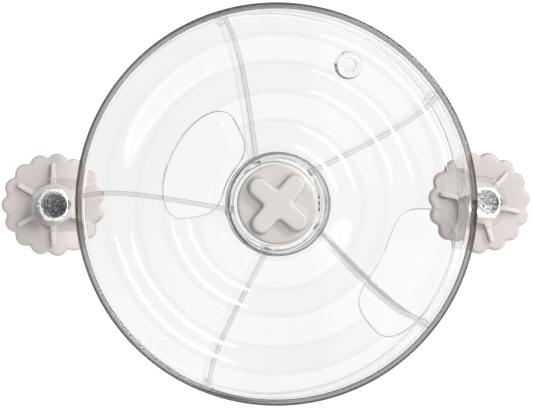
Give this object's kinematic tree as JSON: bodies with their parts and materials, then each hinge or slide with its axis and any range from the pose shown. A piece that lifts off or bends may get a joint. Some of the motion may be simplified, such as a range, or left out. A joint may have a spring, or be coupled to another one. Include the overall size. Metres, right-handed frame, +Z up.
{
  "type": "foraging wheel",
  "caption": "Clear round treat drum with curved dividers, a turning corrugated front cover, a cross-grip centre knob and side bolts with scalloped knobs that clamp it to cage bars.",
  "frame": {"origin": "on the drum's axis, at the back face that lies against the cage's bars", "axes": "+X to the right seen from the front, +Y backwards through the cage's bars, +Z up"},
  "size_m": [0.1909, 0.0674, 0.14],
  "materials": {
    "clear_plastic": "clear glossy polycarbonate",
    "clear_cover": "clear glossy polycarbonate, ring-corrugated",
    "beige_plastic": "beige moulded plastic, satin",
    "zinc_steel": "zinc-plated steel",
    "brass_insert": "turned brass"
  },
  "bodies": {
    "drum": {"drum_back": "clear_plastic", "drum_wall": "clear_plastic", "hub_tube": "clear_plastic", "divider_1": "clear_plastic", "divider_2": "clear_plastic", "divider_3": "clear_plastic", "divider_4": "clear_plastic", "divider_5": "clear_plastic", "centre_bolt": "zinc_steel", "left_bolt": "zinc_steel", "right_bolt": "zinc_steel"},
    "cover": {"cover_disc": "clear_cover", "cover_collar": "clear_cover"},
    "centre_thread": {"centre_insert": "brass_insert"},
    "centre_grip": {"centre_knob": "beige_plastic"},
    "left_thread": {"left_insert": "brass_insert"},
    "left_grip": {"left_clamp_knob": "beige_plastic"},
    "right_thread": {"right_insert": "brass_insert"},
    "right_grip": {"right_clamp_knob": "beige_plastic"}
  },
  "joints": [
    {"name": "cover_spin", "type": "hinge", "parent": "drum", "child": "cover", "pos_m": [0, 0, 0], "axis": [0, -1, 0], "continuous": true},
    {"name": "centre_knob_travel", "type": "slide", "parent": "drum", "child": "centre_thread", "axis": [0, -1, 0], "range_m": [0, 0.00445]},
    {"name": "centre_knob_turn", "type": "hinge", "parent": "centre_thread", "child": "centre_grip", "pos_m": [0, 0, 0], "axis": [0, -1, 0], "range_deg": [0, 1260]},
    {"name": "left_knob_travel", "type": "slide", "parent": "drum", "child": "left_thread", "axis": [0, 1, 0], "range_m": [-0.00381, 0.0127]},
    {"name": "left_knob_turn", "type": "hinge", "parent": "left_thread", "child": "left_grip", "pos_m": [-0.077, 0, 0], "axis": [0, 1, 0], "range_deg": [-1080, 3600]},
    {"name": "right_knob_travel", "type": "slide", "parent": "drum", "child": "right_thread", "axis": [0, 1, 0], "range_m": [-0.00381, 0.0127]},
    {"name": "right_knob_turn", "type": "hinge", "parent": "right_thread", "child": "right_grip", "pos_m": [0.077, 0, 0], "axis": [0, 1, 0], "range_deg": [-1080, 3600]}
  ],
  "couplings": [
    {"joint": "centre_knob_travel", "follows": "centre_knob_turn", "m_per_rad": 0.00020213},
    {"joint": "left_knob_travel", "follows": "left_knob_turn", "m_per_rad": 0.00020213},
    {"joint": "right_knob_travel", "follows": "right_knob_turn", "m_per_rad": 0.00020213}
  ]
}
